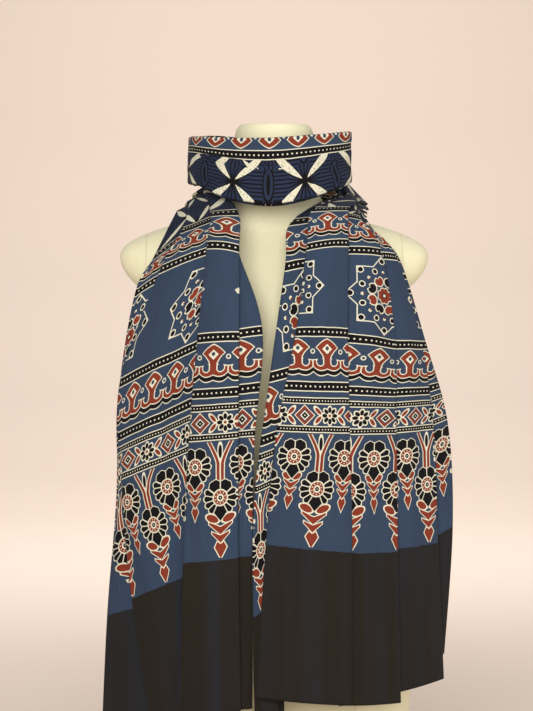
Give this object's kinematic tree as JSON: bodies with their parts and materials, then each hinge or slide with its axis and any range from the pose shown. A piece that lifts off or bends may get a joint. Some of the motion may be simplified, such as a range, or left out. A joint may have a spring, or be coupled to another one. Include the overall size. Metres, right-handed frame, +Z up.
{
  "type": "ajrakh stole on a dress form",
  "caption": "Block-printed indigo ajrakh cotton stole wound once round the neck of a plain headless dress form, both pleated ends hanging in front with dark end bands.",
  "frame": {"origin": "centre of the dress form's flat underside", "axes": "+Z up along the form, -Y towards the front on which the stole's ends hang, +X to the right seen from the front"},
  "size_m": [0.4678, 0.3017, 0.871],
  "materials": {
    "printed_cotton": "matte",
    "form_cover": "matte"
  },
  "bodies": {
    "root": {"stole": "printed_cotton", "dress_form": "form_cover"}
  },
  "joints": []
}
